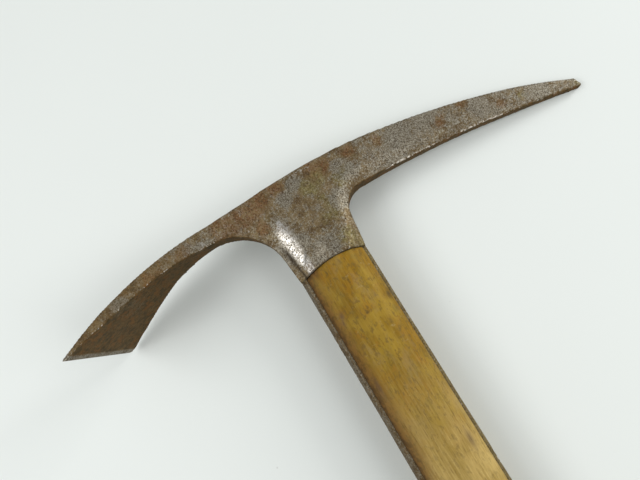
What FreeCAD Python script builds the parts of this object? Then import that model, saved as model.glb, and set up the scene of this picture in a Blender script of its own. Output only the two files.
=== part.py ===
import FreeCAD, Part
import math
import os
import Sketcher

# Ice axe with a one-piece forged head and a wooden shaft.
# Axe frame used for modelling: X towards the pick, Y up the shaft to the head, Z across the blades.
# Y is zero at the joint between the wood and the neck of the head.
# At the end every piece gets one common Placement, which lays the axe on its side on the ground.

SIZES = {
    # Shaft section: an egg of four arcs, sharper on the adze side.
    "shaft_half_width": 17.7,
    "shaft_adze_radius": 8.0,
    "shaft_pick_radius": 12.4,
    "shaft_flank_radius": 100.0,
    "shaft_taper_start": 330.0,
    # Foot of the shaft, where the ferrule begins.
    "foot_half_width": 15.6,
    "foot_adze_radius": 8.6,
    "foot_pick_radius": 11.3,
    "foot_flank_radius": 90.0,
    # Nose of the shaft, at the bottom of the ferrule.
    "nose_half_width": 9.0,
    "nose_adze_radius": 8.0,
    "nose_pick_radius": 8.6,
    "nose_flank_radius": 40.0,
    # Joint between wood and neck: the wood is domed and the neck is hollowed to match.
    "dome_radius": 60.0,
    "dome_edge_drop": 1.4,
    "neck_inset": 0.2,
    # Straps let into the two narrow sides of the shaft.
    "strap_length": 210.0,
    "adze_strap_half_width": 5.6,
    "adze_strap_end_radius": 5.0,
    "pick_strap_half_width": 4.2,
    "pick_strap_end_radius": 3.6,
    "strap_depth": 3.5,
    "strap_proud": 0.4,
    "strap_root": 10.0,
    # Rivets through the straps, as distances below the joint.
    "rivet_radius": 2.0,
    "rivet_head_radius": 3.4,
    "rivet_head_depth": 2.0,
    "upper_rivet_drop": 38.0,
    "middle_rivet_drop": 112.0,
    "lower_rivet_drop": 192.0,
    "fit_gap": 0.05,
    # Side outline of the head.
    "head_top": 48.8,
    "pick_reach": 151.8,
    "pick_tip_low": 12.1,
    "pick_tip_high": 16.2,
    "pick_tip_back": 1.4,
    "pick_back_radius": 335.0,
    "pick_root_flare": 3.7,
    "pick_root_height": 26.8,
    "pick_belly_radius": 680.0,
    "pick_throat_radius": 12.0,
    "adze_start_x": 52.0,
    "adze_start_height": 47.9,
    "adze_back_radius": 158.0,
    "adze_bevel_x": 112.5,
    "adze_bevel_height": 26.6,
    "adze_reach": 121.8,
    "adze_edge_high": 20.3,
    "adze_edge_low": 19.6,
    "adze_edge_back": 0.4,
    "adze_hollow_radius": 400.0,
    "adze_hollow_x": 76.0,
    "adze_hollow_height": 36.5,
    "adze_crown_radius": 118.0,
    "adze_root_flare": 4.3,
    "adze_root_height": 34.6,
    "adze_throat_radius": 28.0,
    # Plan of the head, seen from above: half widths of the forging.
    "pick_tip_half": 1.7,
    "pick_middle_x": 60.0,
    "pick_middle_half": 4.3,
    "crown_pick_x": 14.0,
    "crown_adze_x": 12.0,
    "crown_half": 7.6,
    "waist_x": 46.0,
    "waist_half": 4.7,
    "adze_half_width": 33.8,
    "adze_flare_radius": 330.0,
    "adze_lower_corner_radius": 4.0,
    "adze_upper_corner_radius": 0.9,
    "plan_overhang": 4.0,
    # Neck of the head: egg sections between the wood and the crown.
    "throat_height": 14.0,
    "throat_adze_flare": 5.7,
    "throat_adze_radius": 7.5,
    "throat_pick_flare": 5.2,
    "throat_pick_radius": 10.4,
    "throat_flank_radius": 110.0,
    "shoulder_height": 29.0,
    "shoulder_adze_flare": 19.3,
    "shoulder_adze_radius": 6.4,
    "shoulder_pick_flare": 26.3,
    "shoulder_pick_radius": 6.2,
    "shoulder_flank_radius": 290.0,
    "crown_adze_flare": 40.3,
    "crown_adze_radius": 4.6,
    "crown_pick_flare": 48.3,
    "crown_pick_radius": 4.8,
    "crown_flank_radius": 640.0,
    # Ferrule and spike.
    "ferrule_top": 680.0,
    "ferrule_length": 62.0,
    "ferrule_wall": 1.3,
    "ferrule_gap": 0.15,
    "collar_radius": 9.4,
    "collar_length": 9.0,
    "spike_shoulder_radius": 7.6,
    "spike_shoulder_drop": 3.0,
    "spike_length": 52.0,
    "spike_tip_radius": 0.9,
    "spike_belly_radius": 260.0,
    "tang_radius": 3.6,
    "tang_length": 78.0,
    "tang_gap": 0.1,
    "pin_radius": 1.7,
    "pin_drop": 26.0,
    # Room that the construction solids reach past what they trim.
    "trim_margin": 6.0,
}

doc = FreeCAD.newDocument("IceAxe")
sheet = doc.addObject("Spreadsheet::Sheet", "Sizes")
for row, (alias, number) in enumerate(SIZES.items(), start=1):
    sheet.set("A%d" % row, alias)
    sheet.set("B%d" % row, str(number))
    sheet.setAlias("B%d" % row, alias)
doc.recompute()


def cell(text):
    """Turn plain names such as shaft_half_width into references to the sheet."""
    words = text.replace("(", "( ").replace(")", " )").split()
    named = ["Sizes." + word if word in SIZES else word for word in words]
    return " ".join(named)


def worth(text):
    """The number that an expression on the sheet gives now."""
    return float(sheet.evalExpression(cell(text)))


def new_body(label):
    body = doc.addObject("PartDesign::Body", label)
    body.Label = label
    return body


def new_sketch(body, name, role, offset="0"):
    """A sketch on one of the body's origin planes, moved along that plane's normal."""
    sketch = body.newObject("Sketcher::SketchObject", name)
    plane = [feature for feature in body.Origin.OriginFeatures if feature.Role == role][0]
    sketch.AttachmentSupport = [(plane, "")]
    sketch.MapMode = "FlatFace"
    sketch.setExpression(".AttachmentOffset.Base.z", cell(offset))
    return sketch


def bind(sketch, kind, *where_and_value):
    """Add a dimension and tie it to the sheet."""
    *where, text = where_and_value
    number = sketch.addConstraint(Sketcher.Constraint(kind, *where, worth(text)))
    sketch.setExpression("Constraints[%d]" % number, cell(text))


def outline(sketch, corners):
    """A closed outline of corners (x, y, bend), anticlockwise.

    bend is None for a straight edge to the next corner, or the radius of an arc, as an expression.
    A radius that starts with "hollow" bends into the solid, the others bulge out of it.
    """
    spots = [FreeCAD.Vector(worth(x), worth(y), 0) for x, y, bend in corners]
    for number, (x, y, bend) in enumerate(corners):
        start = spots[number]
        end = spots[(number + 1) % len(spots)]
        if bend is None:
            sketch.addGeometry(Part.LineSegment(start, end))
            continue
        hollow = bend.startswith("hollow ")
        radius = worth(bend.replace("hollow ", ""))
        chord = end - start
        outward = FreeCAD.Vector(chord.y, -chord.x, 0).normalize()
        if hollow:
            outward = outward * -1
        rise = radius - math.sqrt(radius ** 2 - (chord.Length / 2) ** 2)
        middle = start + chord * 0.5 + outward * rise
        sketch.addGeometry(Part.Arc(start, middle, end))
    ends = []
    for number, (x, y, bend) in enumerate(corners):
        backwards = bend is not None and bend.startswith("hollow ")
        ends.append((2, 1) if backwards else (1, 2))
    for number, (x, y, bend) in enumerate(corners):
        following = (number + 1) % len(corners)
        sketch.addConstraint(Sketcher.Constraint("Coincident", number, ends[number][1],
                                                 following, ends[following][0]))
    for number, (x, y, bend) in enumerate(corners):
        for kind, text in (("DistanceX", x), ("DistanceY", y)):
            here = (number, ends[number][0])
            if worth(text) >= 0:
                bind(sketch, kind, -1, 1, *here, text)
            else:
                bind(sketch, kind, *here, -1, 1, "-1 * ( %s )" % text)
        if bend is not None:
            bind(sketch, "Radius", number, bend.replace("hollow ", ""))


def egg(body, name, height, reaches, radii, flank, offset="0"):
    """An egg of four tangent arcs across the shaft: adze side at -X, pick side at +X."""
    sketch = new_sketch(body, name, "XZ_Plane", "-1 * ( %s )" % height)
    adze_radius, pick_radius = ["%s + %s" % (radius, offset) for radius in radii]
    flank_radius = "%s + %s" % (flank, offset)
    adze_centre, pick_centre = ["%s - %s" % (reach, radius) for reach, radius in zip(reaches, radii)]
    ra, rp, rf = worth(adze_radius), worth(pick_radius), worth(flank_radius)
    ca, cp = -worth(adze_centre), worth(pick_centre)
    span = cp - ca
    along = ((rf - ra) ** 2 - (rf - rp) ** 2 + span ** 2) / (2 * span)
    across = math.sqrt((rf - ra) ** 2 - along ** 2)
    adze_turn = math.atan2(across, -along)
    pick_turn = math.atan2(across, span - along)
    centre_x = ca + along
    arcs = ((ca, 0, ra, adze_turn, 2 * math.pi - adze_turn),
            (centre_x, across, rf, 2 * math.pi - adze_turn, 2 * math.pi - pick_turn),
            (cp, 0, rp, -pick_turn, pick_turn),
            (centre_x, -across, rf, pick_turn, adze_turn))
    for x, y, radius, first, last in arcs:
        circle = Part.Circle(FreeCAD.Vector(x, y, 0), FreeCAD.Vector(0, 0, 1), radius)
        sketch.addGeometry(Part.ArcOfCircle(circle, first, last))
    for number in range(4):
        sketch.addConstraint(Sketcher.Constraint("Tangent", number, 2, (number + 1) % 4, 1))
    for cap in (0, 2):
        sketch.addConstraint(Sketcher.Constraint("PointOnObject", cap, 3, -1))
    sketch.addConstraint(Sketcher.Constraint("Equal", 1, 3))
    bind(sketch, "Radius", 0, adze_radius)
    bind(sketch, "Radius", 2, pick_radius)
    bind(sketch, "Radius", 1, flank_radius)
    bind(sketch, "DistanceX", 0, 3, -1, 1, adze_centre)
    bind(sketch, "DistanceX", -1, 1, 2, 3, pick_centre)
    return sketch


def loft(body, name, sketches):
    """A solid with straight flanks through a row of sections."""
    feature = body.newObject("PartDesign::AdditiveLoft", name)
    feature.Profile = sketches[0]
    feature.Sections = sketches[1:]
    feature.Ruled = True
    doc.recompute()
    return feature


def pad(body, sketch, length):
    """A pad to both sides of the sketch, the given length in all."""
    feature = body.newObject("PartDesign::Pad", "Pad")
    feature.Profile = sketch
    feature.Midplane = True
    feature.setExpression("Length", cell(length))
    doc.recompute()
    return feature


def round_edges(body, feature, along, spots, radius):
    """Round the straight edges that run along a direction and pass through the given spots."""
    names = []
    for number, edge in enumerate(feature.Shape.Edges, start=1):
        start, end = edge.Vertexes[0].Point, edge.Vertexes[-1].Point
        for spot in spots:
            near = edge.distToShape(Part.Vertex(spot))[0] < 0.01
            if near and abs((end - start).dot(along)) > 0.99 * (end - start).Length > 0:
                names.append("Edge%d" % number)
    fillet = body.newObject("PartDesign::Fillet", "Fillet")
    fillet.Base = (feature, names)
    fillet.setExpression("Radius", cell(radius))
    doc.recompute()
    return fillet


def boolean(kind, name, first, second):
    result = doc.addObject("Part::" + kind, name)
    result.Base = first
    result.Tool = second
    result.Refine = True
    doc.recompute()
    return result


# --- Head ---------------------------------------------------------------------------------------

def side_outline():
    """The head seen from the side, as a slab as thick as the adze is wide."""
    body = new_body("side_slab")
    sketch = new_sketch(body, "SideOutline", "XY_Plane")
    edge_x = "shaft_half_width + strap_proud - neck_inset"
    pick_root_x = "shaft_half_width + pick_root_flare"
    adze_root_x = "-1 * ( shaft_half_width + adze_root_flare )"
    outline(sketch, [
        (edge_x, "-1 * dome_edge_drop", None),
        (pick_root_x, "pick_root_height", "hollow pick_belly_radius"),
        ("pick_reach", "pick_tip_low", None),
        ("pick_reach - pick_tip_back", "pick_tip_high", "pick_back_radius"),
        ("0", "head_top", None),
        ("-1 * adze_start_x", "adze_start_height", "adze_back_radius"),
        ("-1 * adze_bevel_x", "adze_bevel_height", None),
        ("-1 * adze_reach", "adze_edge_high", None),
        ("-1 * adze_reach + adze_edge_back", "adze_edge_low", "hollow adze_hollow_radius"),
        ("-1 * adze_hollow_x", "adze_hollow_height", "hollow adze_crown_radius"),
        (adze_root_x, "adze_root_height", None),
        ("-1 * ( %s )" % edge_x, "-1 * dome_edge_drop", "hollow dome_radius"),
    ])
    slab = pad(body, sketch, "2 * ( adze_half_width + trim_margin )")
    across = FreeCAD.Vector(0, 0, 1)
    pick_root = FreeCAD.Vector(worth(pick_root_x), worth("pick_root_height"), 0)
    adze_root = FreeCAD.Vector(worth(adze_root_x), worth("adze_root_height"), 0)
    round_edges(body, slab, across, [pick_root], "pick_throat_radius")
    round_edges(body, body.Tip, across, [adze_root], "adze_throat_radius")
    return body


def plan_outline():
    """The head seen from above: thin pick, crown, waist and flared adze."""
    body = new_body("plan_slab")
    sketch = new_sketch(body, "PlanOutline", "XZ_Plane", "-1 * head_top / 2")
    tip_x = "pick_reach + plan_overhang"
    edge_x = "-1 * ( adze_reach + adze_edge_back )"
    outline(sketch, [
        (tip_x, "-1 * pick_tip_half", None),
        (tip_x, "pick_tip_half", None),
        ("pick_middle_x", "pick_middle_half", None),
        ("crown_pick_x", "crown_half", None),
        ("-1 * crown_adze_x", "crown_half", None),
        ("-1 * waist_x", "waist_half", "hollow adze_flare_radius"),
        (edge_x, "adze_half_width", None),
        (edge_x, "-1 * adze_half_width", "hollow adze_flare_radius"),
        ("-1 * waist_x", "-1 * waist_half", None),
        ("-1 * crown_adze_x", "-1 * crown_half", None),
        ("crown_pick_x", "-1 * crown_half", None),
        ("pick_middle_x", "-1 * pick_middle_half", None),
    ])
    pad(body, sketch, "2 * head_top")
    for side, corner in ((-1, "lower"), (1, "upper")):
        spot = FreeCAD.Vector(worth(edge_x), worth("head_top") / 2, side * worth("adze_half_width"))
        round_edges(body, body.Tip, FreeCAD.Vector(0, 1, 0), [spot], "adze_%s_corner_radius" % corner)
    return body


def neck_block():
    """The neck, from the egg section of the wood to the long flat crown."""
    body = new_body("neck_block")
    shaft = (["shaft_half_width"] * 2, ["shaft_adze_radius", "shaft_pick_radius"], "shaft_flank_radius")
    sections = [
        egg(body, "NeckFoot", "-1 * trim_margin", *shaft),
        egg(body, "NeckJoint", "0", *shaft),
    ]
    for place, height in (("throat", "throat_height"), ("shoulder", "shoulder_height"),
                          ("crown", "head_top + trim_margin")):
        sections.append(egg(body, "Neck" + place.title(), height,
                            ["shaft_half_width + %s_adze_flare" % place,
                             "shaft_half_width + %s_pick_flare" % place],
                            [place + "_adze_radius", place + "_pick_radius"],
                            place + "_flank_radius"))
    loft(body, "NeckLoft", sections)
    return body


def strap_space():
    """The room of the two straps: a slab with a round lower end at each narrow side of the shaft."""
    slabs = []
    foot = "-1 * strap_length"
    for side, name in ((-1, "adze"), (1, "pick")):
        half_width = name + "_strap_half_width"
        body = new_body(name + "_strap_slab")
        sketch = new_sketch(body, name.title() + "StrapOutline", "YZ_Plane",
                            "%d * ( shaft_half_width + ( trim_margin - strap_depth ) / 2 )" % side)
        outline(sketch, [
            (foot, "-1 * " + half_width, None),
            ("strap_root", "-1 * " + half_width, None),
            ("strap_root", half_width, None),
            (foot, half_width, None),
        ])
        slab = pad(body, sketch, "strap_depth + trim_margin")
        ends = [FreeCAD.Vector(side * worth("shaft_half_width"), worth(foot), edge * worth(half_width))
                for edge in (-1, 1)]
        round_edges(body, slab, FreeCAD.Vector(1, 0, 0), ends, name + "_strap_end_radius")
        slabs.append(body)
    both = doc.addObject("Part::MultiFuse", "StrapSpace")
    both.Shapes = slabs
    doc.recompute()
    return both


def strap_skin():
    """The egg section that the outsides of the straps are filed to, a little proud of the wood."""
    body = new_body("strap_skin")
    sections = [egg(body, "Skin%s" % name, height, ["shaft_half_width"] * 2,
                    ["shaft_adze_radius", "shaft_pick_radius"], "shaft_flank_radius", "strap_proud")
                for name, height in (("Foot", "-1 * ( strap_length + trim_margin )"),
                                     ("Root", "strap_root + trim_margin"))]
    loft(body, "SkinLoft", sections)
    return body


def rivet(name, drop, gap):
    """A through rivet with a countersunk head at each end, as three primitives in one."""
    seat = "shaft_half_width + strap_proud - rivet_head_depth"
    shank = doc.addObject("Part::Cylinder", name + "Shank")
    shank.setExpression("Radius", cell("rivet_radius + " + gap))
    shank.setExpression("Height", cell("2 * ( shaft_half_width + trim_margin )"))
    shank.Placement.Rotation = FreeCAD.Rotation(FreeCAD.Vector(0, 1, 0), 90)
    shank.setExpression("Placement.Base.x", cell("-1 * ( shaft_half_width + trim_margin )"))
    pieces = [shank]
    for side in (-1, 1):
        head = doc.addObject("Part::Cone", name + "Head")
        head.setExpression("Radius1", cell("rivet_radius + " + gap))
        head.setExpression("Radius2", cell("rivet_head_radius + " + gap))
        head.setExpression("Height", cell("rivet_head_depth"))
        head.Placement.Rotation = FreeCAD.Rotation(FreeCAD.Vector(0, 1, 0), 90 * side)
        head.setExpression("Placement.Base.x", cell("%d * ( %s )" % (side, seat)))
        pieces.append(head)
    for piece in pieces:
        piece.setExpression("Placement.Base.y", cell("-1 * " + drop))
    whole = doc.addObject("Part::MultiFuse", name)
    whole.Shapes = pieces
    doc.recompute()
    return whole


RIVETS = {
    "upper_strap_rivet": "upper_rivet_drop",
    "middle_strap_rivet": "middle_rivet_drop",
    "lower_strap_rivet": "lower_rivet_drop",
}


def tapered_block(name, stations, offset="0"):
    """A straight-flanked solid through egg sections at (height, place) stations of the shaft."""
    body = new_body(name)
    sections = [egg(body, "%s%d" % (name, number), height, [place + "_half_width"] * 2,
                    [place + "_adze_radius", place + "_pick_radius"], place + "_flank_radius", offset)
                for number, (height, place) in enumerate(stations)]
    loft(body, name + "_loft", sections)
    return body


def round_bar(name, radius, start, length, axis):
    """A cylinder along Y (start is its upper end) or Z (start is its height on the shaft)."""
    bar = doc.addObject("Part::Cylinder", name)
    bar.setExpression("Radius", cell(radius))
    bar.setExpression("Height", cell(length))
    bar.setExpression("Placement.Base.y", cell(start))
    if axis == "Y":
        bar.Placement.Rotation = FreeCAD.Rotation(FreeCAD.Vector(1, 0, 0), 90)
    else:
        bar.setExpression("Placement.Base.z", cell("-1 * ( %s ) / 2" % length))
    return bar


def spike_profile():
    """The spike turned about the axe's long axis: tang, collar, shoulder and point."""
    body = new_body("spike_blank")
    sketch = new_sketch(body, "SpikeProfile", "XY_Plane")
    seat = "-1 * ferrule_top - ferrule_length"
    tip = seat + " - collar_length - spike_length"
    outline(sketch, [
        ("0", tip, None),
        ("spike_tip_radius", tip, "spike_belly_radius"),
        ("spike_shoulder_radius", seat + " - collar_length - spike_shoulder_drop", None),
        ("collar_radius", seat + " - collar_length", None),
        ("collar_radius", seat, None),
        ("tang_radius", seat, None),
        ("tang_radius", seat + " + tang_length", None),
        ("0", seat + " + tang_length", None),
    ])
    turning = body.newObject("PartDesign::Revolution", "Turning")
    turning.Profile = sketch
    turning.ReferenceAxis = (sketch, ["V_Axis"])
    turning.Angle = 360
    doc.recompute()
    return body


side_slab = side_outline()
forging = boolean("Fuse", "Forging", plan_outline(), neck_block())
blades = boolean("Common", "Blades", side_slab, forging)
space = strap_space()
skin = strap_skin()
straps = boolean("Common", "Straps", skin, space)
whole_head = boolean("Fuse", "WholeHead", blades, straps)

rivet_holes = doc.addObject("Part::MultiFuse", "RivetHoles")
rivet_holes.Shapes = [rivet(label + "_hole", drop, "fit_gap") for label, drop in RIVETS.items()]
doc.recompute()
head = boolean("Cut", "head", whole_head, rivet_holes)
rivets = [boolean("Common", label, rivet(label + "_bar", drop, "0"), skin)
          for label, drop in RIVETS.items()]

# --- Foot: ferrule, spike and their cross pin -----------------------------------------------------

FOOT = [("-1 * ferrule_top", "foot"), ("-1 * ( ferrule_top + ferrule_length )", "nose")]
ferrule_outside = tapered_block("ferrule_outside", FOOT, "ferrule_gap + ferrule_wall")
ferrule_inside = tapered_block("ferrule_inside", FOOT, "ferrule_gap")
PIN_HEIGHT = "-1 * ferrule_top - pin_drop"
pin_hole = round_bar("pin_hole", "pin_radius + fit_gap", PIN_HEIGHT, "4 * shaft_half_width", "Z")
pin_bar = round_bar("pin_bar", "pin_radius", PIN_HEIGHT, "4 * shaft_half_width", "Z")
ferrule_shell = boolean("Cut", "FerruleShell", ferrule_outside, ferrule_inside)
ferrule = boolean("Cut", "ferrule", ferrule_shell, pin_hole)
ferrule_pin = boolean("Common", "ferrule_pin", pin_bar, ferrule_outside)
spike = boolean("Cut", "spike", spike_profile(), pin_hole)

# --- Shaft ----------------------------------------------------------------------------------------

stem = tapered_block("stem", [
    ("dome_edge_drop + trim_margin", "shaft"),
    ("-1 * shaft_taper_start", "shaft"),
    ("-1 * ferrule_top", "foot"),
    ("-1 * ( ferrule_top + ferrule_length )", "nose"),
])
tang_bore = round_bar("tang_bore", "tang_radius + tang_gap",
                      "-1 * ferrule_top - ferrule_length + tang_length + tang_gap",
                      "tang_length + trim_margin", "Y")
shaft_cuts = doc.addObject("Part::MultiFuse", "ShaftCuts")
shaft_cuts.Shapes = [space, rivet_holes, tang_bore, pin_hole]
domed_stem = boolean("Cut", "DomedStem", stem, side_slab)
shaft = boolean("Cut", "shaft", domed_stem, shaft_cuts)

PIECES = [head, shaft] + rivets + [ferrule, spike, ferrule_pin]


def resting_place():
    """Lay the axe on its side: on the adze's lower corner, the pick and the ferrule's upper rim."""
    adze_corner = FreeCAD.Vector(-worth("adze_reach"), worth("adze_edge_low"), -worth("adze_half_width"))
    pick_corner = FreeCAD.Vector(worth("pick_reach"), worth("pick_tip_low"), -worth("pick_tip_half"))
    rim = ferrule.Shape.BoundBox
    rim_spot = FreeCAD.Vector(0, -worth("ferrule_top"), rim.ZMin)
    up = (pick_corner - rim_spot).cross(adze_corner - rim_spot).normalize()
    along = FreeCAD.Vector(0, 1, 0)
    along = (along - up * along.dot(up)).normalize()
    turn = FreeCAD.Rotation(along.cross(up), along, up, "ZXY").inverted()
    laid = Part.makeCompound([piece.Shape for piece in PIECES])
    laid.Placement = FreeCAD.Placement(FreeCAD.Vector(), turn)
    box = laid.optimalBoundingBox(False)
    return FreeCAD.Placement(FreeCAD.Vector(-box.Center.x, -box.Center.y, -box.ZMin), turn)


place = resting_place()
for piece in PIECES:
    piece.Placement = place
doc.recompute()

for item in doc.Objects:
    if "Invalid" in item.State or "Error" in item.State:
        raise SystemExit("%s did not build: %s" % (item.Label, item.State))
for piece in PIECES:
    if piece.Shape.isNull() or not piece.Shape.isValid():
        raise SystemExit("%s has no valid shape" % piece.Label)

os.makedirs("parts", exist_ok=True)
for piece in PIECES:
    piece.Shape.exportStep("parts/%s.step" % piece.Label)
    box = piece.Shape.BoundBox
    print("%-20s solids %d volume %9.0f  x %7.1f %7.1f  y %7.1f %7.1f  z %6.1f %6.1f" % (
        piece.Label, len(piece.Shape.Solids), piece.Shape.Volume,
        box.XMin, box.XMax, box.YMin, box.YMax, box.ZMin, box.ZMax))
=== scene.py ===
import math

import bmesh
import bpy
import numpy as np
from mathutils import Matrix, Vector
from mathutils.bvhtree import BVHTree
from mathutils.kdtree import KDTree


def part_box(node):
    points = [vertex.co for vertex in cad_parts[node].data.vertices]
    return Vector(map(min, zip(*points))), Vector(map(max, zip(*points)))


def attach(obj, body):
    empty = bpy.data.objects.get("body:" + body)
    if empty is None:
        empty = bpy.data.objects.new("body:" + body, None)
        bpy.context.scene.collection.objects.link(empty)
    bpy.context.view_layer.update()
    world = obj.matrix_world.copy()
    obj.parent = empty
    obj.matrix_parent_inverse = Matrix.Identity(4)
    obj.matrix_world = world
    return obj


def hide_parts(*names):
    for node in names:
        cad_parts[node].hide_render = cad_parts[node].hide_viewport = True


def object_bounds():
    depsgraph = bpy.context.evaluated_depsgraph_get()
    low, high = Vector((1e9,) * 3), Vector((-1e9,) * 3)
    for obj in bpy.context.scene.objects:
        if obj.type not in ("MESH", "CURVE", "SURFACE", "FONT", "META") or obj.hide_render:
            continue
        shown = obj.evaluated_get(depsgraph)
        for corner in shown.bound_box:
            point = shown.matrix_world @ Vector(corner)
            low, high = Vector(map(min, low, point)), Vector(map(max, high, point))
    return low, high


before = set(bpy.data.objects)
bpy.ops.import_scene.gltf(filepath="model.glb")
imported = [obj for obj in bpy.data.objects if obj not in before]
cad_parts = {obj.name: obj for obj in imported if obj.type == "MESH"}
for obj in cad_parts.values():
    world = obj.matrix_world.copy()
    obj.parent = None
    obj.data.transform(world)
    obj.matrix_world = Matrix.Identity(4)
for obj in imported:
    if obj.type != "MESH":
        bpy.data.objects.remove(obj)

# An old ice axe: a forged head with rust patina on a varnished ash shaft, with ferrule and spike.
# The axe frame used below has X towards the pick, Y up the shaft and Z across the blades, with Y
# zero at the joint between wood and steel. Lengths are in metres, and the listed marks are in
# millimetres. Colours are linear RGB.

MM = 0.001
cad_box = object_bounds()

UPPER_RIVET_DROP = 38 * MM
WELD = 0.001 * MM

# Mesh detail: the size of a face on each piece.
HEAD_GRAIN = 0.63 * MM
SHAFT_GRAIN = 1.05 * MM
FERRULE_GRAIN = 0.7 * MM
SPIKE_GRAIN = 0.6 * MM
RIVET_GRAIN = 0.35 * MM


# --- The axe's own frame --------------------------------------------------------------------------

def middle(node):
    low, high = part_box(node)
    return (low + high) / 2


def axe_frame():
    """The matrix from the axe's own axes to the ground it lies on, read off the strap rivets."""
    upper = middle("upper_strap_rivet")
    along = (upper - middle("lower_strap_rivet")).normalized()
    rivet = np.array([vertex.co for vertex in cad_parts["upper_strap_rivet"].data.vertices])
    longest = np.linalg.svd(rivet - rivet.mean(0), full_matrices=False)[2][0]
    pickward = Vector(longest) * math.copysign(1, longest[0])
    pickward = (pickward - along * pickward.dot(along)).normalized()
    across = pickward.cross(along)
    matrix = Matrix((pickward, along, across)).transposed().to_4x4()
    matrix.translation = upper + along * UPPER_RIVET_DROP
    return matrix


AXE = axe_frame()


# --- Mesh helpers ---------------------------------------------------------------------------------

def placed(name, data):
    """A new object in the scene."""
    thing = bpy.data.objects.new(name, data)
    bpy.context.scene.collection.objects.link(thing)
    return thing


def blank(name, node):
    """A copy of a CAD piece with its loose triangles merged, in the axe frame."""
    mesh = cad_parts[node].data.copy()
    mesh.name = name
    mesh.materials.clear()
    build = bmesh.new()
    build.from_mesh(mesh)
    bmesh.ops.remove_doubles(build, verts=build.verts, dist=WELD)
    build.to_mesh(mesh)
    build.free()
    mesh.transform(AXE.inverted())
    return placed(name, mesh)


def even_mesh(piece, grain):
    """Give the piece an even skin of small faces, ready to be worked like clay."""
    remesh = piece.modifiers.new("Even", "REMESH")
    remesh.mode = "VOXEL"
    remesh.voxel_size = grain
    remesh.adaptivity = 0
    depsgraph = bpy.context.evaluated_depsgraph_get()
    even = bpy.data.meshes.new_from_object(piece.evaluated_get(depsgraph))
    piece.modifiers.clear()
    piece.data = even
    for polygon in even.polygons:
        polygon.use_smooth = True


def rows_of(items, field, kind=float, width=3):
    """One field of a mesh's vertices or edges, as an array with a row for each."""
    flat = np.empty(len(items) * width, kind)
    items.foreach_get(field, flat)
    return flat.reshape(-1, width)


def points_of(mesh):
    return rows_of(mesh.vertices, "co")


def normals_of(mesh):
    return rows_of(mesh.vertices, "normal")


def edges_of(mesh):
    return rows_of(mesh.edges, "vertices", kind=int, width=2)


def set_points(mesh, points):
    mesh.vertices.foreach_set("co", points.ravel())
    mesh.update()


def relax(points, edges, share, rounds, axes=(0, 1, 2), bond=None):
    """Pull every point towards the middle of its neighbours, by a share that may differ per point.

    bond says how much each edge counts, so that a corner can be kept out of the averages.
    """
    first, second = edges.T
    size = len(points)
    bond = np.ones(len(edges)) if bond is None else bond
    count = np.bincount(first, bond, size) + np.bincount(second, bond, size) + 1e-9
    points = points.copy()
    for _ in range(rounds):
        for axis in axes:
            value = points[:, axis]
            total = (np.bincount(first, bond * value[second], size)
                     + np.bincount(second, bond * value[first], size))
            points[:, axis] = value + share * (total - count * value) / count
    return points


def raised(points, normals, edges, rounds):
    """How far each point stands proud of its surroundings, in metres: edges and corners are high."""
    return ((points - relax(points, edges, 0.5, rounds)) * normals).sum(axis=1)


def ramp(value, start, end):
    """0 before start, 1 after end, smooth between them. start may be above end."""
    t = np.clip((value - start) / (end - start), 0, 1)
    return t * t * (3 - 2 * t)


def hash_grid(cells, seed):
    """A repeatable random number from 0 to 1 for each whole-numbered cell."""
    # The offset keeps cell numbers positive, and the large primes scatter neighbouring cells.
    x, y, z = (cells.astype(np.int64) + 4096).T
    mixed = (x * 73856093) ^ (y * 19349663) ^ (z * 83492791) ^ (seed * 2654435761)
    mixed = (mixed ^ (mixed >> 13)) * 1274126177 & 0x7FFFFFFF
    return (mixed ^ (mixed >> 16)) % 65536 / 65535


def lumps(points, size, seed, layers=3):
    """Soft uneven lumps of about the given size: values around 0, from about -1 to 1."""
    total = np.zeros(len(points))
    strength = 1.0
    for layer in range(layers):
        spot = points / size
        cell = np.floor(spot)
        part = ramp(spot - cell, 0, 1)
        value = np.zeros(len(points))
        for corner in range(8):
            step = np.array([corner & 1, corner >> 1 & 1, corner >> 2 & 1])
            share = np.prod(np.where(step, part, 1 - part), axis=1)
            value += share * hash_grid(cell + step, seed + layer)
        total += strength * (2 * value - 1)
        strength /= 2
        size /= 2
    return total / 1.5


def patches(points, spots, seed):
    """Ragged patches at spots (x, y, radius) in millimetres, on the upper side of the axe."""
    total = np.zeros(len(points))
    ragged = 1 + 0.6 * lumps(points, 5 * MM, seed)
    for x, y, radius in spots:
        away = np.hypot(points[:, 0] - x * MM, points[:, 1] - y * MM) / (radius * MM)
        total = np.maximum(total, ramp(away * ragged, 1.5, 0.5))
    return total * (points[:, 2] > 0)


def stroke(points, path):
    """Distance from a line of (x, y, half width) in millimetres, counted in half widths."""
    far = 99.0
    nearest = np.full(len(points), far)
    flat = points[:, :2] / MM
    for start, end in zip(path, path[1:]):
        start, end = np.array(start), np.array(end)
        along = end[:2] - start[:2]
        share = np.clip((flat - start[:2]) @ along / (along @ along), 0, 1)
        away = flat - start[:2] - share[:, None] * along
        half_width = start[2] + share * (end[2] - start[2])
        nearest = np.minimum(nearest, np.hypot(*away.T) / half_width)
    return nearest


def mark(mesh, **values):
    """Store numbers on each point, for the finish to read."""
    for name, value in values.items():
        attribute = mesh.attributes.new(name, "FLOAT", "POINT")
        attribute.data.foreach_set("value", value.astype(np.float32))


def finish_piece(piece, node, material):
    """Lay the piece on the ground and hand it to the frame."""
    piece.data.transform(AXE)
    set_points(piece.data, np.clip(points_of(piece.data), *cad_box))
    piece.data.materials.clear()
    piece.data.materials.append(material)
    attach(piece, "root")
    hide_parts(node)


# --- Finishes -------------------------------------------------------------------------------------

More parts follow.
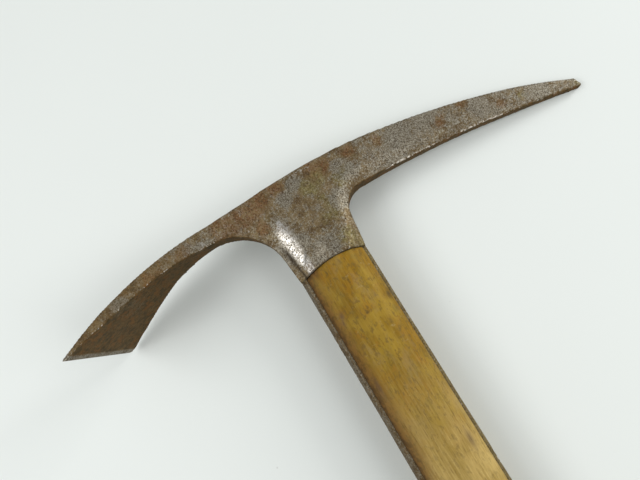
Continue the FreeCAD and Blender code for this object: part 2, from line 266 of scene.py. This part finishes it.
class Socket:
    """The output of a shader node. Arithmetic on it adds Math nodes."""

    def __init__(self, finish, link):
        self.finish = finish
        self.link = link

    def __add__(self, other):
        return self.finish.maths("ADD", self, other)

    def __sub__(self, other):
        return self.finish.maths("SUBTRACT", self, other)

    def __mul__(self, other):
        return self.finish.maths("MULTIPLY", self, other)

    def __rsub__(self, other):
        return self.finish.maths("SUBTRACT", other, self)

    __radd__ = __add__
    __rmul__ = __mul__

    def capped(self):
        """The same value, held at 1 where it is above."""
        return self.finish.maths("MINIMUM", self, 1.0)

    def clear(self, start, end):
        """0 below start and 1 above end, smooth between. start may be above end."""
        low, high, to_low, to_high = (start, end, 0, 1) if start < end else (end, start, 1, 0)
        return self.finish.node("ShaderNodeMapRange", {"interpolation_type": "SMOOTHSTEP"},
                                {"Value": self, "From Min": low, "From Max": high,
                                 "To Min": to_low, "To Max": to_high})


class Finish:
    """A material built from nodes on the piece's own coordinates."""

    def __init__(self, name):
        self.material = bpy.data.materials.new(name)
        self.material.use_nodes = True
        self.tree = self.material.node_tree
        self.tree.nodes.clear()
        to_axe = AXE.inverted()
        spot = self.node("ShaderNodeTexCoord", {}, {}, "Object")
        self.spot = self.node("ShaderNodeMapping", {}, {
            "Vector": spot, "Rotation": to_axe.to_euler(), "Location": to_axe.translation})

    def node(self, kind, settings, sockets, out=0):
        """Add a node: its settings first, then values or links, and give one of its outputs."""
        made = self.tree.nodes.new(kind)
        for name, value in settings.items():
            setattr(made, name, value)
        for name, value in sockets.items():
            if isinstance(value, Socket):
                self.tree.links.new(value.link, made.inputs[name])
            else:
                made.inputs[name].default_value = value
        return None if out is None else Socket(self, made.outputs[out])

    def maths(self, operation, *values):
        return self.node("ShaderNodeMath", {"operation": operation}, dict(enumerate(values)))

    def stretched(self, x, y, z):
        """The piece's coordinates with each axis scaled, so that a pattern follows the shaft."""
        return self.node("ShaderNodeMapping", {}, {"Vector": self.spot, "Scale": (x, y, z)})

    def noise(self, size, detail=3.0, roughness=0.55, where=None, seed=0.0):
        """Cloudy pattern with lumps of about the given size in metres, around 0.5."""
        return self.node("ShaderNodeTexNoise", {"noise_dimensions": "4D"}, {
            "Vector": where or self.spot, "W": seed, "Scale": 1 / size, "Detail": detail,
            "Roughness": roughness})

    def cells(self, size, where=None):
        """Distance to the nearest of many scattered points, in units of size."""
        return self.node("ShaderNodeTexVoronoi", {}, {
            "Vector": where or self.spot, "Scale": 1 / size}, "Distance")

    def mark(self, name):
        return self.node("ShaderNodeAttribute", {"attribute_name": name}, {}, "Fac")

    def mix(self, share, first, second):
        """Blend two colours: the second shows by the share."""
        ends = [end if isinstance(end, Socket) else (*end, 1) for end in (first, second)]
        return self.node("ShaderNodeMix", {"data_type": "RGBA", "blend_type": "MIX"},
                         {0: share, 6: ends[0], 7: ends[1]}, 2)

    def surface(self, sockets, relief=None):
        """Close the material with a Principled surface, with bumps from a relief in millimetres."""
        if relief is not None:
            sockets["Normal"] = self.node("ShaderNodeBump", {}, {
                "Strength": 1.0, "Distance": 1 * MM, "Height": relief})
        skin = self.node("ShaderNodeBsdfPrincipled", {}, sockets)
        self.node("ShaderNodeOutputMaterial", {}, {"Surface": skin}, out=None)
        return self.material


# Colours of the patina, as the two ends between which each one varies. The shaded rust, dirt and
# highlight colours also paint shade and a highlight onto the steel.
BROWN_PATINA = (0.106, 0.068, 0.031), (0.220, 0.160, 0.080)
OLIVE_PATINA = (0.122, 0.098, 0.034), (0.240, 0.198, 0.086)
RUSSET_RUST = (0.105, 0.042, 0.017), (0.215, 0.100, 0.036)
SCALE_GREY = (0.130, 0.115, 0.086), (0.275, 0.252, 0.205)
# Darker rust for the adze's end and the straps, which also paints shade on the adze's underside.
SHADED_RUST_BROWN = (0.048, 0.034, 0.013), (0.105, 0.062, 0.022)
SHADED_RUST_ORANGE = (0.150, 0.062, 0.014)
SHADED_RUST_GREY = (0.12, 0.105, 0.06)
FLECK_GREY = (0.40, 0.38, 0.315)
SOOT = (0.05, 0.036, 0.022)
SCAB_BROWN = (0.062, 0.042, 0.024)
PIT_BROWN = (0.04, 0.028, 0.018)
# Pale grey that paints a highlight along the bulge of the adze-side cheek.
HIGHLIGHT_GREY = (0.55, 0.53, 0.50)
RUBBED_STEEL = (0.62, 0.58, 0.51)
# Dirt in the hollows, also used as painted shade along the crease.
DIRT_AND_CREASE_SHADE = (0.032, 0.021, 0.011)

# Dielectric shine of the patina and of the worn varnish, which are both nearly dull.
DULL_SHINE = 0.08


def rusted_steel(name):
    """Forged steel under a thin, fine-grained rust patina, with flecks of bare metal between."""
    steel = Finish(name)
    wear = steel.mark("wear")
    dirt_and_crease_shade = steel.mark("hollow")
    red = steel.mark("red_rust")
    ochre = steel.mark("ochre")
    bare = steel.mark("bare")
    rust_and_underside_shade = steel.mark("rust_and_underside_shade")
    painted_highlight = steel.mark("painted_highlight")
    broad = steel.noise(14 * MM, detail=4, roughness=0.6)
    patch = steel.noise(5 * MM, detail=4, roughness=0.62, seed=3)
    mottle = steel.noise(2.2 * MM, detail=3, roughness=0.65, seed=5)
    speckle = steel.noise(1.0 * MM, detail=3, roughness=0.7, seed=7)
    grit = steel.noise(0.62 * MM, detail=2, roughness=0.7, seed=11)
    tint = steel.noise(3.2 * MM, detail=3, roughness=0.6, seed=15)
    pits = steel.cells(1.1 * MM).clear(0.42, 0.18) * mottle.clear(0.44, 0.56)

    brown = steel.mix(patch.clear(0.35, 0.65), *BROWN_PATINA)
    olive = steel.mix(speckle.clear(0.35, 0.65), *OLIVE_PATINA)
    olive_share = ochre * (0.35 + tint.clear(0.4, 0.55) * 0.55) + tint.clear(0.52, 0.62) * 0.22
    base = steel.mix(olive_share.capped(), brown, olive)
    russet = steel.mix(speckle.clear(0.35, 0.65), *RUSSET_RUST)
    red_share = red * (0.25 + mottle.clear(0.42, 0.58) * 0.65) + patch.clear(0.56, 0.68) * 0.35
    base = steel.mix(red_share.capped() * 0.7, base, russet)

    grey_drive = (broad * 0.22 + patch * 0.2 + mottle * 0.25 + speckle * 0.33 + bare * 0.09
                  - red * 0.05 - ochre * 0.03 - rust_and_underside_shade * 0.1 - 0.01)
    greyed = grey_drive.clear(0.45, 0.57)
    base = steel.mix(greyed * 0.8, base, steel.mix(grit.clear(0.35, 0.65), *SCALE_GREY))
    flecks = (grit * 0.55 + speckle * 0.45).clear(0.51, 0.58) * (1 - rust_and_underside_shade * 0.7)
    flecks = flecks * (0.5 + greyed * 0.5) * (1 - red * 0.4)
    base = steel.mix(flecks * 0.42, base, FLECK_GREY)
    soot = (grit * 0.5 + speckle * 0.5).clear(0.47, 0.41)
    base = steel.mix(soot * 0.5, base, SOOT)
    base = steel.mix(mottle.clear(0.42, 0.33) * 0.5, base, SCAB_BROWN)
    base = steel.mix(pits * 0.7, base, PIT_BROWN)

    # Dark rust with painted shade on the adze's underside; the adze's end and the straps get the same
    # darker tone.
    shade = steel.mix(mottle.clear(0.38, 0.6), *SHADED_RUST_BROWN)
    shade = steel.mix(tint.clear(0.5, 0.64) * 0.7, shade, SHADED_RUST_ORANGE)
    shade = steel.mix(greyed * 0.25, shade, SHADED_RUST_GREY)
    base = steel.mix(rust_and_underside_shade * 0.85, base, shade)

    # Painted highlight along the adze-side cheek: pale grey and glossier metal, broken by dark pits.
    dark_pits = steel.cells(0.95 * MM, where=steel.stretched(1, 0.8, 1)).clear(0.44, 0.26)
    uneven = 0.3 + (mottle * 0.4 + speckle * 0.6).clear(0.42, 0.54) * 0.7
    highlight_share = painted_highlight * (1 - dark_pits * 0.8) * uneven
    base = steel.mix(highlight_share * 0.75, base, HIGHLIGHT_GREY)
    broken = (patch * 0.5 + speckle * 0.5).clear(0.47, 0.55)
    rubbed = wear.clear(0.35, 0.85) * broken
    base = steel.mix(rubbed * 0.85, base, RUBBED_STEEL)
    # Dirt in the hollows, and painted shade along the crease on the adze-side cheek.
    base = steel.mix(dirt_and_crease_shade * 0.85, base, DIRT_AND_CREASE_SHADE)

    metal = (0.35 + greyed * 0.2 + highlight_share * 0.5 + rubbed).capped()
    metal = metal * (1 - pits) * (1 - dirt_and_crease_shade) * (1 - rust_and_underside_shade * 0.8)
    roughness = (0.5 - greyed * 0.05 - highlight_share * 0.14 - rubbed * 0.12
                 + pits * 0.3 + rust_and_underside_shade * 0.2)
    relief = mottle * 0.04 + speckle * 0.015 - pits * 0.06 + patch * 0.08
    return steel.surface({"Base Color": base, "Metallic": metal, "Roughness": roughness,
                          "Specular IOR Level": DULL_SHINE}, relief)


# Colours of the ash. A pair gives the two ends between which the colour varies.
HONEY = (0.185, 0.105, 0.008), (0.300, 0.185, 0.024)
AMBER = (0.245, 0.128, 0.008)
LIGHT_GOLD = (0.350, 0.225, 0.028)
ORANGE_BLOTCH = (0.290, 0.140, 0.014)
GREEN_BLOTCH = (0.165, 0.120, 0.026)
PALE_FIBRE = (0.37, 0.245, 0.055)
DARK_FLECK = (0.115, 0.066, 0.014)
WORN_WOOD = (0.27, 0.185, 0.080)
SCUFFED_WOOD = (0.42, 0.32, 0.15)
FADED_WOOD = (0.320, 0.220, 0.062), (0.56, 0.410, 0.150)
BROWN_FLECK = (0.17, 0.115, 0.035)
PORE_BROWN = (0.085, 0.048, 0.012)
# Rust stain by the adze-side steel, darkened further as painted shade.
RUST_STAIN_AND_SHADE = (0.085, 0.042, 0.016), (0.205, 0.100, 0.026)
SEAM_DIRT = (0.045, 0.025, 0.010)
BRUISED_WOOD = (0.115, 0.072, 0.055)
NICK_DIRT = (0.04, 0.027, 0.015)


def varnished_ash(name):
    """Old ash under worn honey varnish, with long grain, rubbed patches, dirt along the steel, and
    rust stain with painted shade by the adze-side steel.
    """
    wood = Finish(name)
    seam = wood.mark("seam")
    adze_side = wood.mark("adze_side")
    bruise = wood.mark("bruise")
    nick = wood.mark("nick")
    faded = wood.mark("faded")

    def grain(size, stretch, **options):
        return wood.noise(size, where=wood.stretched(*stretch), **options)

    fibres = grain(0.9 * MM, (1, 0.07, 1), detail=4, roughness=0.65)
    rings = grain(4.5 * MM, (1, 0.05, 1), detail=3, roughness=0.5, seed=2)
    flecks = grain(1.6 * MM, (1, 0.55, 1), detail=3, roughness=0.7, seed=4)
    cloud = grain(13 * MM, (1, 0.6, 1), detail=4, roughness=0.6, seed=6)
    pores = grain(0.55 * MM, (1, 0.09, 1), detail=2, roughness=0.5, seed=8).clear(0.6, 0.72)
    worn = grain(9 * MM, (1, 0.6, 1), detail=5, roughness=0.7, seed=9).clear(0.50, 0.64)
    blotch = grain(6 * MM, (1, 0.7, 1), detail=4, roughness=0.65, seed=14)
    scuff = grain(3 * MM, (0.6, 1, 0.6), detail=4, roughness=0.75, seed=12)

    base = wood.mix(rings.clear(0.36, 0.64), *HONEY)
    base = wood.mix(cloud.clear(0.42, 0.62), base, AMBER)
    base = wood.mix(cloud.clear(0.5, 0.36) * 0.6, base, LIGHT_GOLD)
    base = wood.mix(blotch.clear(0.54, 0.66) * 0.6, base, ORANGE_BLOTCH)
    base = wood.mix(blotch.clear(0.46, 0.36) * 0.5, base, GREEN_BLOTCH)
    base = wood.mix(fibres.clear(0.38, 0.68) * 0.35, base, PALE_FIBRE)
    base = wood.mix(flecks.clear(0.5, 0.66) * 0.5, base, DARK_FLECK)
    base = wood.mix(worn * 0.4, base, WORN_WOOD)
    base = wood.mix(scuff.clear(0.60, 0.70) * 0.35, base, SCUFFED_WOOD)
    pale = wood.mix((fibres * 0.4 + cloud * 0.6).clear(0.38, 0.62), *FADED_WOOD)
    base = wood.mix(faded * 0.75, base, pale)
    base = wood.mix(flecks.clear(0.52, 0.64) * 0.3, base, BROWN_FLECK)
    base = wood.mix(pores * 0.4, base, PORE_BROWN)
    # By the adze-side steel: rust stain with painted shade, and a wider, darker seam.
    stain_and_shade = wood.mix(flecks.clear(0.4, 0.6), *RUST_STAIN_AND_SHADE)
    base = wood.mix(adze_side * 0.9, base, stain_and_shade)
    base = wood.mix(seam * (0.35 + adze_side * 0.45), base, SEAM_DIRT)
    base = wood.mix(bruise * 0.7, base, BRUISED_WOOD)
    base = wood.mix(nick * 0.85, base, NICK_DIRT)

    roughness = 0.5 + worn * 0.15 + fibres * 0.1 + bruise * 0.15
    relief = fibres * 0.05 + rings * 0.06 - pores * 0.05 + flecks * 0.04
    return wood.surface({"Base Color": base, "Roughness": roughness,
                         "Specular IOR Level": DULL_SHINE}, relief)


TABLE_WHITE = (0.765, 0.80, 0.775), (0.785, 0.82, 0.795)
TABLE_SPECK = (0.45, 0.45, 0.42)


def pale_table():
    table = Finish("pale_table")
    specks = table.cells(45 * MM).clear(0.020, 0.008)
    base = table.mix(table.noise(120 * MM), *TABLE_WHITE)
    base = table.mix(specks * 0.5, base, TABLE_SPECK)
    return table.surface({"Base Color": base, "Roughness": 0.55})


# --- Head -----------------------------------------------------------------------------------------

# Patches of the patina on the upper cheek: x, y and radius.
RED_RUST = ((20, 43, 4), (16, 44, 4), (14, 47, 3), (-6, 46, 4), (-16, 44, 6), (-37, 40, 8),
            (-26, 42, 6), (-75, 34, 5), (112, 24.5, 2.6), (50, 41, 2), (82, 34, 3), (97, 36, 2.5),
            (-60, 41, 4), (-21, 32, 3), (35, 43, 3))
OCHRE_RUST = ((24, 33, 4), (15, 39, 4), (12, 21, 6), (12, 7, 5), (9, 37, 4), (28, 36, 3),
              (15, 3, 4), (123, 23, 2), (151, 14.5, 3))
BARE_STEEL = ((-57, 39, 6), (-93, 30, 6), (-106, 18, 5), (27, 39, 4), (31, 34, 4), (19, 25, 5),
              (-4, 38, 4), (3, 43, 4), (61, 37, 6), (77, 39, 5), (103, 30, 5), (132, 20, 5),
              (0, 6, 6), (-11, 15, 7))
CHIPS = ((-27.5, 34.5, 0.7), (-29.5, 31.5, 0.6), (-42, 35, 1.6), (-50.5, 40.5, 1.2),
         (-58, 39.5, 1.2))

# Lines on the upper cheek, from point to point: x, y and half width.
# The crease is sunk into the steel and also darkened with painted shade.
CREASE = ((-14.5, -1, 0.7), (-14.5, 1, 0.7), (-16, 9, 0.7), (-17, 17, 0.55), (-19, 22.5, 0.2))
BRIGHT_LINES = (
    ((-1, 46, 0.3), (4, 46.5, 0.8), (9, 47, 0.8), (14.5, 46.5, 0.3)),
    ((36, 25, 0.4), (54, 26, 0.6), (76, 24, 0.6), (100, 21.5, 0.5), (113, 19, 0.2)),
    ((-46, 39.5, 0.3), (-56, 38, 0.9), (-66, 36.5, 0.3)),
    ((-82, 31.5, 0.3), (-90, 27.5, 1.2), (-100, 20, 1), (-110, 11, 0.4)),
    ((-70, 37.5, 0.2), (-84, 33, 0.5), (-97, 26, 0.6), (-112, 12.5, 0.3)),
)
# A band of painted highlight along the bulge of the adze-side cheek: x, y and half width.
PAINTED_HIGHLIGHT_BAND = ((-12.5, 29.5, 1.4), (-13, 24.5, 3.6), (-12.5, 19, 3.9), (-12, 13, 3.2), (-11, 6, 2.5),
           (-10.5, -0.5, 2))

# How deep the skin of the forging is worked.
HAMMER_WAVES = 0.12 * MM
RUST_BITE = 0.05 * MM
CHIP_DEPTH = 0.16 * MM
CREASE_DEPTH = 0.5 * MM
EDGE_LIFT = 0.12 * MM
# Widening that makes up for what the softening takes off the thin ends.
PICK_SWELL = 0.55 * MM
ADZE_SWELL = 0.35 * MM
# How much thinner the cheeks become at their lower edges.
ADZE_THINNING = 0.32
PICK_THINNING = 0.24
# Rounds of smoothing in and out, which soften edges without shrinking the piece.
SOFTENING = (0.5, -0.52) * 5 + (0.4,)


def lower_wall_distance(points, normals):
    """How far each point of the cheeks is, seen from the side, from the lower edge of the blades."""
    upright = np.abs(normals[:, 2]) < 0.45
    wall = upright & (normals[:, 1] < 0.35) & (points[:, 1] > 0)
    wall |= upright & (np.abs(points[:, 1]) < 4 * MM)
    spots = points[wall]
    tree = KDTree(len(spots))
    for number, (x, y, z) in enumerate(spots):
        tree.insert((x, y, 0), number)
    tree.balance()
    return np.array([tree.find((x, y, 0))[2] for x, y, z in points])


def blended_cheeks(points, normals, edges):
    """Let the cheeks flow into pick and adze, and thin them towards their lower edges."""
    facing = ramp(np.abs(normals[:, 2]), 0.5, 0.85)
    bond = facing[edges[:, 0]] * facing[edges[:, 1]]
    free = 0.6 * facing * ramp(points[:, 1], 1 * MM, 5 * MM)
    points = relax(points, edges, free, 160, axes=(2,), bond=bond)

    x, y, _ = points.T
    inland = lower_wall_distance(points, normals)
    adze_throat = ramp(x, -42 * MM, -24 * MM) * ramp(x, 2 * MM, -6 * MM) * ramp(y, 0, 12 * MM)
    pick_root = ramp(x, 12 * MM, 24 * MM) * ramp(x, 125 * MM, 60 * MM)
    fall = adze_throat * ADZE_THINNING * (1 - ramp(inland, 0, 11 * MM))
    fall += pick_root * PICK_THINNING * (1 - ramp(inland, 0, 8 * MM))
    points[:, 2] *= 1 - fall
    return points


def worked_skin(points, normals, wear, crease, keen):
    """Hammer waves, rust pitting, chips and the crease, flush at the joint with the wood."""
    waves = lumps(points, 17 * MM, seed=1, layers=2)
    rust = lumps(points, 3.2 * MM, seed=5, layers=2)
    chips = ramp(lumps(points, 7 * MM, seed=9, layers=2), 0.35, 0.9) * wear
    sunk = HAMMER_WAVES * waves + RUST_BITE * rust + CHIP_DEPTH * chips + CREASE_DEPTH * crease
    sunk -= EDGE_LIFT * wear
    away_from_joint = ramp(np.abs(points[:, 1]), 2 * MM, 8 * MM) * (1 - 0.8 * keen)
    sunk *= np.maximum(away_from_joint, crease)
    return points - normals * sunk[:, None]


def full_reach(points, normals, keen, reach):
    """Give the softened ends their width back, and bring pick tip and adze edge to their reach."""
    swell = PICK_SWELL * ramp(points[:, 0], 85 * MM, 125 * MM)
    swell += ADZE_SWELL * ramp(points[:, 0], -50 * MM, -80 * MM)
    swell *= 1 - keen
    points[:, :2] += normals[:, :2] * swell[:, None]
    shrunk = points[:, 0].min() - reach[0], points[:, 0].max() - reach[1]
    points[:, 0] -= shrunk[0] * ramp(points[:, 0], -95 * MM, -119 * MM)
    points[:, 0] -= shrunk[1] * ramp(points[:, 0], 130 * MM, 150 * MM)
    return points


def forged_head():
    """The forging: cheeks flowing into pick and adze, softened edges, nicks and rust-eaten skin."""
    piece = blank("forged_head", "head")
    even_mesh(piece, HEAD_GRAIN)
    mesh = piece.data
    edges = edges_of(mesh)
    points = points_of(mesh)
    reach = points[:, 0].min(), points[:, 0].max()

    points = blended_cheeks(points, normals_of(mesh), edges)
    x, y, z = points.T
    crease = np.exp(-stroke(points, CREASE) ** 2) * ramp(y, 24 * MM, 12 * MM)
    keen = ramp(x, -104 * MM, -112 * MM)
    for share in SOFTENING:
        points = relax(points, edges, share * (1 - 0.8 * keen), 1)
    set_points(mesh, points)
    normals = normals_of(mesh)

    proud = raised(points, normals, edges, 8)
    wear = ramp(proud, 0.15 * MM, 0.42 * MM)
    # Hollows get dirt; the crease gets painted shade on top of its groove.
    hollow = np.maximum(ramp(-proud, 0.05 * MM, 0.22 * MM), crease)
    points = worked_skin(points, normals, wear, crease, keen)
    points = full_reach(points, normals, keen, reach)
    set_points(mesh, points)

    upward = normals[:, 2]
    at_joint = ramp(np.abs(points[:, 1] + 0.7 * MM), 4 * MM, 2 * MM)
    strap = ramp(points[:, 1], -1 * MM, -3 * MM)
    cutting_edge = 0.8 * ramp(points[:, 0], -118 * MM, -119.2 * MM)
    pick_grey = 0.4 * ramp(points[:, 0], 30 * MM, 50 * MM)
    wear *= (1 - 0.9 * at_joint) * (1 - 0.5 * strap)
    wear *= 1 - 0.6 * ramp(points[:, 0], 145 * MM, 149 * MM)
    for line in BRIGHT_LINES:
        wear = np.maximum(wear, ramp(stroke(points, line), 1.4, 0.4) * (upward > 0.25))
    bare = np.maximum(patches(points, BARE_STEEL, seed=47), strap * (0.7 - 0.6 * (x > 0)))
    # Surfaces facing down the shaft under the adze get painted shade; the adze's end and the straps
    # get a darker rust tone.
    shaded_underside = ramp(normals[:, 1], -0.2, -0.7) * ramp(y, 4 * MM, 12 * MM)
    dull_adze = 0.4 * ramp(x, -45 * MM, -75 * MM)
    rust_and_underside_shade = np.maximum(shaded_underside, np.maximum(dull_adze, strap * 0.35))
    mark(mesh,
         wear=np.maximum(wear, 1.2 * patches(points, CHIPS, seed=53) * (upward > 0.3)),
         hollow=hollow,
         red_rust=patches(points, RED_RUST, seed=41),
         ochre=np.maximum(patches(points, OCHRE_RUST, seed=43), strap * (x > 0)),
         bare=cutting_edge + pick_grey + bare,
         rust_and_underside_shade=rust_and_underside_shade * (1 - cutting_edge),
         # The band of painted highlight on the bulge of the adze-side cheek.
         painted_highlight=ramp(stroke(points, PAINTED_HIGHLIGHT_BAND), 1.3, 0.4) * (z > 0))
    finish_piece(piece, "head", rusted_steel("rusted_forging"))
    return piece


# --- Shaft ----------------------------------------------------------------------------------------

# Dents on the upper side of the shaft: x, y, half width, half length and depth, and how dark
# each is, from a bruise at 0 to a dirty nick at 1.
DENTS = (
    (-9.5, -24.5, 1.1, 1.9, 0.35, 0.1),
    (-10.5, -27.5, 0.6, 1.6, 0.2, 0.2),
    (2, -28.5, 1.2, 0.6, 0.2, 0.9),
    (4.5, -28.5, 2.2, 0.35, 0.1, 0.5),
    (15, -26.5, 1, 1.6, 0.3, 0.8),
    (11.5, -97.5, 1.2, 4.5, 0.1, 0.25),
    (-11.5, -60, 0.8, 4.5, 0.2, 0.15),
)
# The straps and the head end above this height, so below it no wood is near them.
WOOD_NEAR_STEEL = -240 * MM
STEEL_REACH = 12 * MM
STAIN_AND_SHADE_REACH = 4.6 * MM
SMALL_DENTS = 70


def steel_gaps(points, outward, head):
    """How far each point of the outer wood is from the head's steel, up to STEEL_REACH."""
    steel = BVHTree.FromPolygons([vertex.co for vertex in head.data.vertices],
                                 [polygon.vertices for polygon in head.data.polygons])
    gaps = np.full(len(points), STEEL_REACH)
    for number in np.flatnonzero((points[:, 1] > WOOD_NEAR_STEEL) & (outward > 0)):
        found = steel.find_nearest(AXE @ Vector(points[number]), STEEL_REACH)
        if found[3] is not None:
            gaps[number] = found[3]
    return gaps


def turned_shaft(head):
    """The ash shaft: rounded at its joints, with small dents, dirt gathered along the steel, and rust
    stain with painted shade by the adze-side steel.
    """
    piece = blank("ash_shaft", "shaft")
    even_mesh(piece, SHAFT_GRAIN)
    mesh = piece.data
    points = relax(points_of(mesh), edges_of(mesh), 0.5, 2)
    set_points(mesh, points)
    normals = normals_of(mesh)
    outward = ramp(np.hypot(points[:, 0], points[:, 2]), 9 * MM, 11 * MM)

    gaps = steel_gaps(points, outward, head)
    stain_and_shade_reach = STAIN_AND_SHADE_REACH * (1 + 0.55 * lumps(points * (1, 0.4, 1), 9 * MM, seed=25))
    # The wood near the steel on the adze side: rust stain and painted shade, with a wider seam.
    adze_side = np.exp(-(gaps / stain_and_shade_reach) ** 2) * ramp(points[:, 0], -6 * MM, -10 * MM)
    seam = np.exp(-gaps / (0.45 * MM + 1.1 * MM * adze_side))

    bruise = np.zeros(len(points))
    nick = np.zeros(len(points))
    sunk = 0.05 * MM * (1 + lumps(points * (1, 0.3, 1), 9 * MM, seed=21))
    random = np.random.default_rng(12)
    for _ in range(SMALL_DENTS):
        height = random.uniform(-670, -6) * MM
        turn = random.uniform(0, 2 * math.pi)
        spot = np.array([16 * MM * math.cos(turn), height, 12 * MM * math.sin(turn)])
        long, wide = random.uniform(1.2, 4.5) * MM, random.uniform(0.6, 1.6) * MM
        deep = random.uniform(0.06, 0.3) * MM
        away = points - spot
        pit = np.exp(-(away[:, 1] / long) ** 2 - (np.hypot(away[:, 0], away[:, 2]) / (wide * 2)) ** 2)
        sunk += deep * pit
        bruise = np.maximum(bruise, pit * random.uniform(0.05, 0.35))
    for x, y, half_width, half_length, deep, dark in DENTS:
        away = (((points[:, 0] - x * MM) / (half_width * MM)) ** 2
                + ((points[:, 1] - y * MM) / (half_length * MM)) ** 2)
        pit = np.exp(-away) * (points[:, 2] > 0)
        sunk += deep * MM * pit
        bruise = np.maximum(bruise, pit * (1 - dark))
        nick = np.maximum(nick, pit * dark)
    sunk *= outward
    points = points - normals * sunk[:, None]
    set_points(mesh, points)
    mark(mesh, seam=seam, adze_side=adze_side, bruise=bruise, nick=nick,
         faded=ramp(points[:, 1], -45 * MM, -115 * MM))
    finish_piece(piece, "shaft", varnished_ash("varnished_ash"))


# --- Rivets, ferrule and spike --------------------------------------------------------------------

def small_steel(name, node, grain, finish):
    """A small steel piece with softened edges and rubbed corners."""
    piece = blank(name, node)
    even_mesh(piece, grain)
    mesh = piece.data
    edges = edges_of(mesh)
    points = relax(points_of(mesh), edges, 0.5, 2)
    set_points(mesh, points)
    normals = normals_of(mesh)
    proud = raised(points, normals, edges, 10)
    sunk = 0.03 * MM * (1 + lumps(points, 3 * MM, seed=31, layers=2))
    set_points(mesh, points - normals * sunk[:, None])
    mark(mesh, wear=ramp(proud, 0.02 * MM, 0.12 * MM), hollow=ramp(-proud, 0.02 * MM, 0.1 * MM))
    none = np.zeros(len(points))
    mark(mesh, red_rust=none, ochre=none, bare=none, rust_and_underside_shade=none, painted_highlight=none)
    finish_piece(piece, node, finish)


# --- Table, light and camera ----------------------------------------------------------------------

TABLE_HALF = 3.0
ROOM_COLOUR = (0.975, 1.0, 0.985, 1)
ROOM_STRENGTH = 0.32
# Each light: its direction from the axe in the axe frame, distance, width and power.
LIGHTS = {
    "left_window": ((-0.63, 0.31, 0.71), 2.5, 1.8, 20),
    "adze_window": ((-0.74, 0.0, 0.60), 1.5, 0.5, 3.4),
    "right_window": ((0.55, -0.38, 0.74), 2.5, 1.4, 24),
    "low_window": ((0.86, 0.22, 0.48), 2.5, 1.0, 30),
}
# The camera looks down on the head from a little below the joint, leaning to one side.
CAMERA_EYE = Vector((-2.4, -31.5, 239)) * MM
CAMERA_TARGET = Vector((0.5, 13.4, 0)) * MM
CAMERA_LEAN = math.radians(31.3)
LENS_MM = 27.6
SENSOR_MM = 36


def lay_table():
    mesh = bpy.data.meshes.new("table")
    corners = [(x * TABLE_HALF, y * TABLE_HALF, 0) for x, y in ((-1, -1), (1, -1), (1, 1), (-1, 1))]
    mesh.from_pydata(corners, [], [(0, 1, 2, 3)])
    table = placed("table", mesh)
    table.data.materials.append(pale_table())


def light_room():
    room = bpy.data.worlds.new("soft_room")
    bpy.context.scene.world = room
    room.use_nodes = True
    background = room.node_tree.nodes["Background"]
    background.inputs["Color"].default_value = ROOM_COLOUR
    background.inputs["Strength"].default_value = ROOM_STRENGTH
    for name, (direction, distance, width, power) in LIGHTS.items():
        lamp = bpy.data.lights.new(name, "AREA")
        lamp.shape = "SQUARE"
        lamp.size = width
        lamp.energy = power
        holder = placed(name, lamp)
        towards = (AXE.to_3x3() @ Vector(direction)).normalized()
        holder.location = AXE.translation + towards * distance
        holder.rotation_euler = (-towards).to_track_quat("-Z", "Y").to_euler()


def place_camera():
    eye = AXE @ CAMERA_EYE
    forward = (AXE @ CAMERA_TARGET - eye).normalized()
    shaft_up = AXE.to_3x3() @ Vector((0, 1, 0))
    right = forward.cross(shaft_up).normalized()
    above = right.cross(forward)
    up = above * math.cos(CAMERA_LEAN) + right * math.sin(CAMERA_LEAN)
    side = forward.cross(up)
    camera = bpy.data.cameras.new("camera")
    camera.lens = LENS_MM
    camera.sensor_width = SENSOR_MM
    camera.clip_start = 0.01
    holder = placed("camera", camera)
    turn = Matrix((side, up, -forward)).transposed()
    holder.matrix_world = Matrix.Translation(eye) @ turn.to_4x4()
    bpy.context.scene.camera = holder
    bpy.context.scene.view_settings.view_transform = "Standard"


# --- The whole scene ------------------------------------------------------------------------------

lay_table()
light_room()
place_camera()
turned_shaft(forged_head())
strap_steel = rusted_steel("rusted_fittings")
for place in ("upper", "middle", "lower"):
    small_steel(place + "_rivet", place + "_strap_rivet", RIVET_GRAIN, strap_steel)
small_steel("foot_pin", "ferrule_pin", RIVET_GRAIN, strap_steel)
small_steel("foot_ferrule", "ferrule", FERRULE_GRAIN, strap_steel)
small_steel("forged_spike", "spike", SPIKE_GRAIN, strap_steel)
